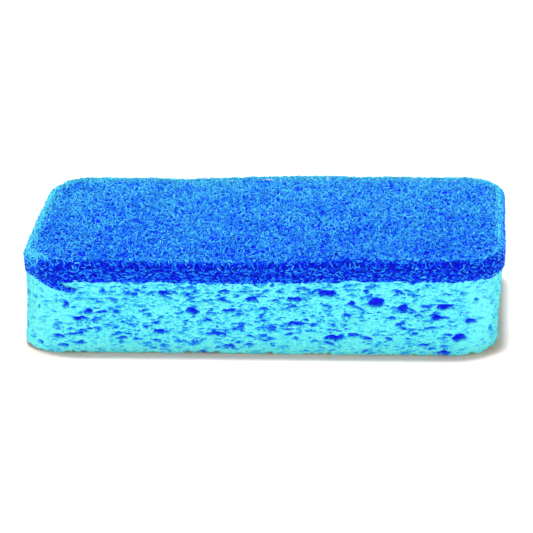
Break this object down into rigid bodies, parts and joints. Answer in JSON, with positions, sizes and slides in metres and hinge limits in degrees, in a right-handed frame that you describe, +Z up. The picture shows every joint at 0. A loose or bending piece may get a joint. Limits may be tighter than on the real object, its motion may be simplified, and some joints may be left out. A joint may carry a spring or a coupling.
{
  "type": "cleaning sponge",
  "caption": "Oblong cleaning sponge with rounded corners: an open-pored foam block for wiping, with a scouring pad bonded to its top.",
  "frame": {"origin": "centre of the base", "axes": "+X along the length towards the right end, +Y from the front wall towards the back wall, +Z up towards the scouring pad"},
  "size_m": [0.1152, 0.0702, 0.0243],
  "materials": {
    "cellulose_foam": "matt open-pored foam",
    "scouring_felt": "rough non-woven fibre felt"
  },
  "bodies": {
    "root": {"sponge_block": "cellulose_foam", "scouring_pad": "scouring_felt"}
  },
  "joints": []
}
